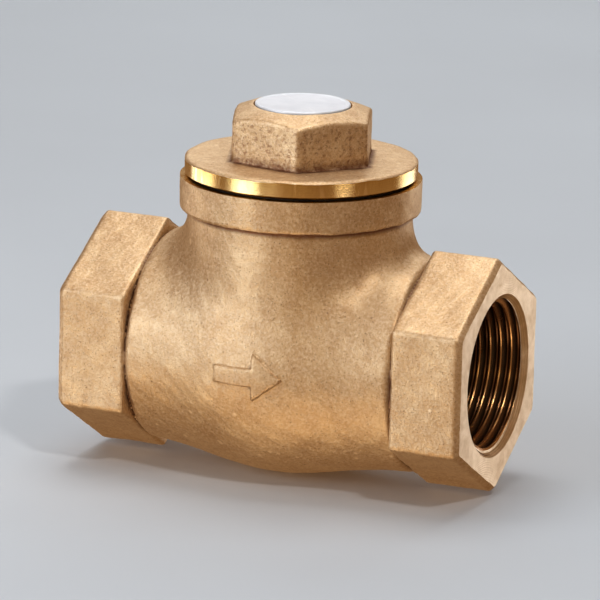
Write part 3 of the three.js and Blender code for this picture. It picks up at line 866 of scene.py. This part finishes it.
def steel():
    s = Shader("stainless_drawn")
    tone = s.noise(1.5, 4.0)
    drawn = s.noise(0.2, 3.0, 0.6, s.stretch((1.0, 0.06, 1.0)))
    s.set("Base Color", s.mix(s.span(tone, 0.3, 0.7), linear(205, 206, 208), linear(178, 180, 184)))
    s.set("Metallic", 1.0)
    s.set("Roughness", s.span(drawn, 0.3, 0.7, 0.18, 0.32))
    s.set("Normal", s.bump(drawn, 0.01, 0.6))
    return s.material


def plate_white():
    s = Shader("plate_satin_white")
    brushed = s.noise(0.25, 3.0, 0.6, s.stretch((0.05, 1.0, 1.0)))
    tone = s.noise(5.0, 4.0)
    edge = s.span(s.pointiness(), 0.52, 0.60)
    base = s.mix(s.span(tone, 0.3, 0.7), linear(236, 237, 241), linear(224, 226, 231))
    base = s.mix(s.span(brushed, 0.3, 0.8, 0.0, 0.15), base, linear(205, 207, 212))
    s.set("Base Color", s.mix(s.math("MULTIPLY", edge, 0.5), base, linear(252, 252, 252)))
    s.set("Metallic", 0.25)
    s.set("Roughness", s.span(brushed, 0.3, 0.7, 0.34, 0.46))
    s.set("Normal", s.bump(brushed, 0.008, 0.6))
    return s.material


def ptfe():
    s = Shader("ptfe_skived")
    tone = s.noise(3.0, 4.0)
    radius, _ = s.radius("X")
    marks = s.math("SINE", s.math("MULTIPLY", radius, 2 * math.pi / (0.3 * MM)))
    s.set("Base Color", s.mix(s.span(tone, 0.3, 0.7), linear(240, 238, 230), linear(226, 222, 210)))
    s.set("Roughness", s.span(tone, 0.3, 0.7, 0.40, 0.55))
    s.set("Subsurface Weight", 0.1)
    s.set("Subsurface Scale", 0.001)
    s.set("Normal", s.bump(marks, 0.01, 0.5, s.bump(s.noise(0.6, 2.0), 0.02, 0.4)))
    return s.material


def fibre():
    s = Shader("fibre_sheet")
    strand = s.noise(0.5, 6.0, 0.7, s.stretch((1.0, 1.0, 0.3)))
    tone = s.noise(2.5, 4.0)
    base = s.mix(s.span(tone, 0.3, 0.7), linear(92, 80, 66), linear(70, 60, 50))
    s.set("Base Color", s.mix(s.span(strand, 0.5, 0.75, 0.0, 0.7), base, linear(126, 112, 92)))
    s.set("Roughness", s.span(strand, 0.3, 0.7, 0.75, 0.92))
    s.set("Normal", s.bump(strand, 0.06, 0.7))
    return s.material


def floor_paint():
    s = Shader("floor_matt")
    tone = s.noise(180.0, 3.0)
    base = s.mix(s.span(tone, 0.3, 0.7), linear(200, 201, 203), linear(206, 207, 209))
    s.set("Base Color", base)
    s.set("Roughness", s.span(tone, 0.3, 0.7, 0.78, 0.86))
    s.set("Normal", s.bump(s.noise(1.2, 3.0), 0.03, 0.3))
    return s.material


# The body's grooves and the corner under its collar get painted shade.
CAST_BODY = cast_bronze("cast_bronze_body", None, body_crease_shade)
# The cap gets painted shade round the foot of its hexagon.
CAST_CAP = cast_bronze("cast_bronze_cap", cap_grit, cap_foot_shade)
CAST = cast_bronze("cast_bronze_plain")
TURNED_X = turned_bronze("X", "turned_bronze_run", polish=(0.30, 0.44))
TURNED_Y = turned_bronze("Y", "turned_bronze_pin", polish=(0.22, 0.34))
TURNED_Z = turned_bronze("Z", "turned_bronze_cap", pitch_mm=0.13)
FACED = end_face_bronze()
THREAD = thread_bronze()
STEEL = steel()
WHITE = plate_white()
PTFE = ptfe()
FIBRE = fibre()

# ---- body ----


def port_thread(name):
    """The tapered port thread as a plug, from its mouth at x = 0 inward along +x."""
    root = PORT_MAJOR_R - PORT_DEPTH
    return thread_rod(name, "x", root, PORT_DEPTH, PORT_PITCH, -1.5, PORT_LENGTH, taper=PORT_TAPER,
                      fades=(0.1, 2.0), segments=128, rows=10)


def flipped(obj):
    """The same plug turned half a turn about Z, so that it points along -x."""
    obj.data.transform(Matrix.Rotation(math.pi, 4, "Z"))


def shifted(obj, x):
    obj.data.transform(Matrix.Translation((x * MM, 0, 0)))


def mouth_chamfer(name):
    """Opens the mouth of a port at 45 degrees, a little wider than its thread."""
    depth = 1.0
    mouth = PORT_MAJOR_R + 0.35
    profile = [(0, -2), (mouth + 2, -2), (mouth, 0), (mouth - depth, depth), (0, depth)]
    return revolve(name, profile, "x", 128, 0)


def facing_ring(name, side):
    """Takes the machining stock off an end face."""
    obj = disc(name, "x", END_HEX_FLATS, LENGTH / 2, LENGTH / 2 + 6, 64)
    if side < 0:
        flipped(obj)
    return obj


def make_body():
    low = (-LENGTH / 2 - 1.5, -BARREL_BELLY_R - 2.0, -BARREL_BELLY_R - 1.2)
    high = (LENGTH / 2 + 1.5, BARREL_BELLY_R + 2.0, COLLAR_TOP + 1.6)
    body = skin_object("valve_body", body_field, low, high, BODY_VOXEL)
    paint(body, CAST_BODY)
    for side in (1, -1):
        cut(body, facing_ring("facing", side), FACED)
        chamfer = mouth_chamfer("mouth")
        thread = port_thread("thread")
        for tool in (chamfer, thread):
            if side > 0:
                flipped(tool)
            shifted(tool, side * LENGTH / 2)
        cut(body, chamfer, FACED)
        cut(body, thread, THREAD)
    cut(body, disc("top", "z", 40, COLLAR_TOP, COLLAR_TOP + 5, 64), TURNED_Z)
    recess = [(0, RECESS_BOTTOM), (RECESS_R, RECESS_BOTTOM), (RECESS_R, COLLAR_TOP - 0.4),
              (RECESS_R + 0.8, COLLAR_TOP + 0.4), (RECESS_R + 0.8, COLLAR_TOP + 2), (0, COLLAR_TOP + 2)]
    cut(body, revolve("recess", recess, "z", 160, 0), TURNED_Z)
    neck = thread_rod("neck", "z", NECK_BORE_R - 0.1, CAP_THREAD_DEPTH, CAP_PITCH,
                      NECK_FLOOR + 5, RECESS_BOTTOM + 0.5, fades=(1.5, 0.05), segments=128, rows=8)
    cut(body, neck, TURNED_Z)
    cut(body, disc("seat_face", "x", SEAT_RING_R + 1.2, SEAT_FACE_X, SEAT_FACE_X + 1.4, 160, 0.1), TURNED_X)
    bore = [(0, SEAT_BORE_START), (SEAT_BORE_R, SEAT_BORE_START), (SEAT_BORE_R, SEAT_FACE_X - 0.5),
            (SEAT_BORE_R + 0.8, SEAT_FACE_X + 0.3), (0, SEAT_FACE_X + 0.3)]
    cut(body, revolve("seat_bore", bore, "x", 160, 0), TURNED_X)
    cut(body, disc("pin_hole", "y", PIN_R + 0.15, PIN_HOLE_START, PLUG_BORE_Y + 1, 48, 0, AT_PIN), TURNED_Y)
    cut(body, disc("boss_face", "y", BOSS_R + 3, BOSS_Y, BOSS_Y + 3, 64, 0, AT_PIN), TURNED_Y)
    bore = [(0, PLUG_BORE_Y), (PLUG_BORE_R, PLUG_BORE_Y), (PLUG_BORE_R, BOSS_Y - 0.3),
            (PLUG_BORE_R + 0.8, BOSS_Y + 0.5), (0, BOSS_Y + 0.5)]
    cut(body, revolve("plug_bore", bore, "y", 64, 0, AT_PIN), TURNED_Y)
    settle(body, "body", "root")


# ---- cap ----


def make_cap():
    reach = CAP_FLANGE_R + 1.6
    low, high = (-reach, -reach, 34), (reach, reach, CAP_TOP + 1.2)
    cap = skin_object("screwed_cap", cap_field, low, high, CAP_VOXEL)
    paint(cap, CAST_CAP)
    rim = [(CAP_FLANGE_R - 0.5, CAP_FLANGE_BOTTOM - 1), (reach + 2, CAP_FLANGE_BOTTOM - 1),
           (reach + 2, CAP_FLANGE_TOP + 1), (CAP_FLANGE_R, CAP_FLANGE_TOP + 1),
           (CAP_FLANGE_R, CAP_FLANGE_BOTTOM + 0.4), (CAP_FLANGE_R - 0.5, CAP_FLANGE_BOTTOM)]
    cut(cap, revolve("rim", rim, "z", 224, 0), TURNED_Z)
    cut(cap, disc("under", "z", 40, 30, CAP_FLANGE_BOTTOM, 64), TURNED_Z)
    core = CAP_PLUG_R - CAP_THREAD_DEPTH
    plug = thread_rod("plug", "z", core, CAP_THREAD_DEPTH, CAP_PITCH, CAP_PLUG_BOTTOM,
                      CAP_FLANGE_BOTTOM + 1, fades=(1.2, 2.6), segments=128, rows=8)
    join(cap, plug, TURNED_Z)
    hollow = [(0, CAP_PLUG_BOTTOM - 1), (CAP_HOLLOW_R + 0.8, CAP_PLUG_BOTTOM - 1),
              (CAP_HOLLOW_R, CAP_PLUG_BOTTOM + 0.6), (CAP_HOLLOW_R, CAP_HOLLOW_TOP - 2),
              (CAP_HOLLOW_R - 2, CAP_HOLLOW_TOP), (CAP_CORE_R, CAP_HOLLOW_TOP),
              (CAP_CORE_R - 1, CAP_CORE_TOP), (0, CAP_CORE_TOP)]
    cut(cap, revolve("hollow", hollow, "z", 96, 0.6), CAST)
    cut(cap, disc("plate_seat", "z", PLATE_R + 0.3, PLATE_RECESS, CAP_TOP + 1, 128), TURNED_Z)
    settle(cap, "cap", "cap")


def make_plate():
    low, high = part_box("name_plate")
    bottom, top = low[2] / MM, high[2] / MM
    profile = [(0, bottom), (PLATE_R, bottom), (PLATE_R, top - 0.22), (PLATE_R - 0.22, top),
               (PLATE_R - 0.9, top), (PLATE_R - 1.1, top - 0.06), (0, top - 0.06)]
    plate = revolve("blank_plate", profile, "z", 128, 0.06)
    paint(plate, WHITE)
    settle(plate, "name_plate", "cap")


def make_gasket():
    low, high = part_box("cap_gasket")
    bottom, top = low[2] / MM, high[2] / MM
    outer = high[0] / MM
    profile = [(GASKET_INNER_R, bottom), (outer, bottom), (outer, top), (GASKET_INNER_R, top)]
    gasket = revolve("fibre_gasket", profile, "z", 128, 0.25)
    paint(gasket, FIBRE)
    settle(gasket, "cap_gasket", "gasket")


# ---- hinge pin, its plug and washer ----


def make_hinge():
    low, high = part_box("hinge_pin")
    front, back = low[1] / MM, high[1] / MM
    profile = [(0, front), (PIN_R - 0.4, front), (PIN_R, front + 0.4), (PIN_R, back - 0.4),
               (PIN_R - 0.4, back), (0, back)]
    pin = revolve("pin_rod", profile, "y", 64, 0.1, AT_PIN)
    paint(pin, STEEL)
    settle(pin, "hinge_pin", "root")

    washer = washer_ring("plug_seal", "y", PLUG_BORE_R, PLUG_WASHER_R, PLUG_WASHER_SPAN, 96, 0.2, AT_PIN)
    paint(washer, FIBRE)
    settle(washer, "plug_washer", "root")

    low, high = (PIN_X - 8, 26.4, PIN_Z - 8), (PIN_X + 8, 32, PIN_Z + 8)
    head = skin_object("pin_plug", plug_head_field, low, high, PLUG_VOXEL)
    paint(head, TURNED_Y)
    shank = thread_rod("shank", "y", PLUG_THREAD_ROOT, PLUG_THREAD_DEPTH, PLUG_THREAD_PITCH,
                       *PLUG_THREAD_SPAN, fades=(0.8, 2.4), segments=64, rows=8, centre=AT_PIN)
    join(head, shank, TURNED_Y)
    settle(head, "hinge_pin_plug", "root")


# ---- clapper ----


def make_hanger():
    hanger = skin_object("hanger_arm", hanger_field, (-13, -10.2, -6.2), (2, 10.2, 23), HANGER_VOXEL)
    paint(hanger, CAST)
    cut(hanger, disc("hole", "y", PIN_R + 0.3, -12, 12, 48, 0, AT_PIN), TURNED_Y)
    cut(hanger, disc("eye", "x", STUD_R + 0.3, -5, 2, 48), TURNED_X)
    cut(hanger, disc("spot_face", "x", HANGER_EYE_R + 1, HANGER_FRONT - 0.05, 2.0, 64), TURNED_X)
    settle(hanger, "hanger", "hanger")


def make_holder():
    recess_r = SEAT_DISC_R + 0.3
    ring_r = BACK_RING_R
    ring_floor = HOLDER_BACK - BACK_RING_DEPTH
    profile = [(0, FRONT_STUD_NECK), (FRONT_STUD_R, FRONT_STUD_NECK), (FRONT_STUD_R, HOLDER_FLOOR),
               (recess_r, HOLDER_FLOOR), (recess_r, HOLDER_RIM), (HOLDER_R, HOLDER_RIM),
               (HOLDER_R, HOLDER_BACK - 0.8), (HOLDER_R - 0.8, HOLDER_BACK),
               (ring_r[3], HOLDER_BACK), (ring_r[2], ring_floor),
               (ring_r[1], ring_floor), (ring_r[0], HOLDER_BACK),
               (HUB_R, HOLDER_BACK), (HUB_R, HUB_TOP), (0, HUB_TOP)]
    holder = revolve("disc_carrier", profile, "x", 128, 0.15)
    paint(holder, TURNED_X)
    back = thread_rod("stud", "x", *STUD_THREAD, *STUD_SPAN, fades=(0.5, 0.7), segments=40, rows=6)
    front = thread_rod("stud", "x", *FRONT_STUD_THREAD, *FRONT_STUD_SPAN, fades=(0.6, 0.4),
                       segments=40, rows=6)
    join(holder, back, TURNED_X)
    join(holder, front, TURNED_X)
    cut(holder, disc("hole", "y", SPLIT_PIN_HOLE_R, -4, 4, 24, 0, (SPLIT_PIN_X, 0, 0)), TURNED_X)
    settle(holder, "disc_holder", "disc")


def make_seat_disc():
    span = (SEAT_DISC_FACE, SEAT_DISC_BACK)
    soft = washer_ring("seat_ring_soft", "x", FRONT_BORE_R, SEAT_DISC_R, span, 128, 0.3)
    paint(soft, PTFE)
    settle(soft, "seat_disc", "disc")


def make_washers():
    washer = washer_ring("front_washer", "x", FRONT_BORE_R, SEAT_WASHER_R, SEAT_WASHER_SPAN, 96, 0.2)
    paint(washer, TURNED_X)
    settle(washer, "seat_disc_washer", "disc")
    washer = washer_ring("rear_washer", "x", REAR_BORE_R, HANGER_WASHER_R, HANGER_WASHER_SPAN, 64, 0.2)
    paint(washer, TURNED_X)
    settle(washer, "hanger_washer", "disc")


def make_nut(name, node, across_flats, bore, low, high):
    reach = across_flats / math.sqrt(3) + 0.5
    field = nut_field(across_flats, low, high)
    nut = skin_object(name, field, (low - 0.5, -reach, -reach), (high + 0.5, reach, reach), NUT_VOXEL)
    paint(nut, TURNED_X)
    middle = (low + high) / 2
    hole = [(0, low - 1), (bore + 0.9, low - 1), (bore + 0.9, low - 0.3), (bore, low + 0.5), (bore, middle),
            (bore, high - 0.5), (bore + 0.9, high + 0.3), (bore + 0.9, high + 1), (0, high + 1)]
    cut(nut, revolve("hole", hole, "x", 48, 0), TURNED_X)
    settle(nut, node, "disc")


def tube(name, path, radius):
    """A round wire along a smooth path of points, in millimetres."""
    curve = bpy.data.curves.new(name, "CURVE")
    curve.dimensions = "3D"
    curve.bevel_depth = radius * MM
    curve.bevel_resolution = 3
    curve.resolution_u = 8
    curve.use_fill_caps = True
    spline = curve.splines.new("BEZIER")
    spline.bezier_points.add(len(path) - 1)
    for point, place in zip(spline.bezier_points, path):
        point.co = Vector(place) * MM
        point.handle_left_type = "AUTO"
        point.handle_right_type = "AUTO"
    holder = bpy.data.objects.new(name + "_curve", curve)
    bpy.context.scene.collection.objects.link(holder)
    bpy.context.view_layer.update()
    mesh = bpy.data.meshes.new_from_object(holder.evaluated_get(bpy.context.evaluated_depsgraph_get()))
    bpy.data.objects.remove(holder)
    obj = bpy.data.objects.new(name, mesh)
    bpy.context.scene.collection.objects.link(obj)
    face_outward(obj)
    return obj


def make_split_pin():
    x = SPLIT_PIN_X
    eye = []
    for k in range(9):
        a = math.radians(-150 + k * 300 / 8)
        eye.append((x, SPLIT_PIN_EYE_Y + SPLIT_PIN_EYE_R * math.cos(a), SPLIT_PIN_EYE_R * math.sin(a)))
    leg = [(x, -4.05, 2.4), (x, -3.95, 1.1), (x, -3.35, 0.30), (x, -2.4, 0.02), (x, 0, 0), (x, 2.6, -0.05)]
    throat = [(x, eye[0][1] - 0.15, eye[0][2] + 0.15)]
    pin = tube("split_wire", leg + throat + eye, SPLIT_PIN_R)
    paint(pin, STEEL)
    settle(pin, "split_pin", "disc")


make_body()
make_cap()
make_plate()
make_gasket()
make_hinge()
make_hanger()
make_holder()
make_seat_disc()
make_washers()
make_nut("front_nut", "seat_disc_nut", SEAT_NUT_FLATS, FRONT_BORE_R, *SEAT_NUT_SPAN)
make_nut("rear_nut", "hanger_nut", HANGER_NUT_FLATS, REAR_BORE_R, *HANGER_NUT_SPAN)
make_split_pin()

# ---- floor, light and camera ----

ROOM_LIGHT = 0.28
GAMMA = 0.85
FLOOR_HALF = 6.0
FLOOR_GAP = 0.0002

# The camera's direction and roll in degrees, its distance and offsets in metres, its lens in mm.
CAMERA_AZIMUTH = 23.207
CAMERA_ELEVATION = 14.18
CAMERA_ROLL = 1.384
CAMERA_DISTANCE = 1.14485
CAMERA_ACROSS = 0.000611
CAMERA_LIFT = 0.010251
CAMERA_LENS = 330.1


def make_floor():
    low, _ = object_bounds()
    half, level = FLOOR_HALF, low[2] - FLOOR_GAP
    points = [(-half, -half, level), (half, -half, level), (half, half, level), (-half, half, level)]
    mesh = bpy.data.meshes.new("floor")
    mesh.from_pydata(points, [], [(0, 1, 2, 3)])
    floor = bpy.data.objects.new("floor", mesh)
    bpy.context.scene.collection.objects.link(floor)
    paint(floor, floor_paint())
    # The metal mirrors the dark room below it, not the floor, so its undersides stay dark.
    floor.visible_glossy = False


def softbox(name, azimuth, elevation, distance, size, power, colour=(1.0, 1.0, 1.0), target=(0, 0, 0.012)):
    """An area light that looks at the object from an azimuth and elevation, in degrees."""
    a, e = math.radians(azimuth), math.radians(elevation)
    towards = Vector((math.sin(a) * math.cos(e), -math.cos(a) * math.cos(e), math.sin(e)))
    data = bpy.data.lights.new(name, "AREA")
    data.shape = "RECTANGLE"
    data.size, data.size_y = size
    data.energy = power
    data.color = colour
    lamp = bpy.data.objects.new(name, data)
    lamp.location = Vector(target) + towards * distance
    lamp.rotation_euler = towards.to_track_quat("Z", "Y").to_euler()
    bpy.context.scene.collection.objects.link(lamp)


def make_world():
    """A dim room of one even colour: warm where metal mirrors it, and plain for all other light."""
    world = bpy.data.worlds.new("studio")
    world.use_nodes = True
    nodes, links = world.node_tree.nodes, world.node_tree.links
    path = nodes.new("ShaderNodeLightPath")
    tint = nodes.new("ShaderNodeMix")
    tint.data_type = "RGBA"
    tint.inputs["A"].default_value = (0.97, 0.98, 1.0, 1.0)
    tint.inputs["B"].default_value = (1.30, 0.80, 0.42, 1.0)
    links.new(path.outputs["Is Glossy Ray"], tint.inputs["Factor"])
    links.new(tint.outputs["Result"], nodes["Background"].inputs["Color"])
    nodes["Background"].inputs["Strength"].default_value = ROOM_LIGHT
    bpy.context.scene.world = world


def make_camera():
    azimuth, elevation, roll = map(math.radians, (CAMERA_AZIMUTH, CAMERA_ELEVATION, CAMERA_ROLL))
    level = math.cos(elevation)
    back = Vector((math.sin(azimuth) * level, -math.cos(azimuth) * level, math.sin(elevation)))
    right = Vector((math.cos(azimuth), math.sin(azimuth), 0))
    up = back.cross(right)
    right, up = right * math.cos(roll) + up * math.sin(roll), up * math.cos(roll) - right * math.sin(roll)
    place = right * CAMERA_ACROSS + up * CAMERA_LIFT + back * CAMERA_DISTANCE
    data = bpy.data.cameras.new("camera")
    data.lens = CAMERA_LENS
    data.sensor_width = 36.0
    data.clip_start = 0.05
    data.clip_end = 50.0
    camera = bpy.data.objects.new("camera", data)
    turn = Matrix((right, up, back)).transposed()
    camera.matrix_world = Matrix.Translation(place) @ turn.to_4x4()
    bpy.context.scene.collection.objects.link(camera)
    bpy.context.scene.camera = camera


make_floor()
softbox("key", -34, 13, 0.9, (0.44, 0.62), 3.6, (0.775, 0.875, 1.0))
softbox("top", 205, 80, 1.1, (0.6, 0.6), 4.8, (0.94, 0.97, 1.0))
softbox("left_high", -50, 50, 0.3, (0.1, 0.1), 0.10, (0.94, 0.97, 1.0))
softbox("high_right", 47, 47, 1.1, (0.12, 0.08), 2.6)
softbox("front", 12, 10, 1.3, (0.8, 0.3), 0.9, (1.0, 0.85, 0.55))
softbox("back", 196, 34, 1.0, (1.0, 0.4), 2.4, (0.86, 0.94, 1.0))
softbox("low_left", -38, -32, 1.0, (0.4, 0.22), 1.5, (1.0, 0.84, 0.62))
softbox("low_front", 8, -46, 1.0, (0.6, 0.4), 1.3, (1.0, 0.84, 0.66))
softbox("under", -12, -62, 1.0, (0.9, 0.4), 1.3, (1.0, 0.84, 0.60))
softbox("card_key", -34, -14, 1.0, (0.40, 0.2), 1.45, (0.80, 0.92, 1.0))
softbox("card_middle", -8, -14, 1.0, (0.26, 0.2), 0.18)
softbox("card_right", 66, -14, 1.0, (0.14, 0.2), 0.36)
softbox("card_left", -92, -14, 1.0, (0.7, 0.2), 1.4)
softbox("card_end", 155, -11, 1.0, (0.55, 0.3), 1.3, (0.88, 0.94, 1.0))
make_world()
make_camera()
bpy.context.scene.view_settings.view_transform = "Standard"
bpy.context.scene.view_settings.gamma = GAMMA
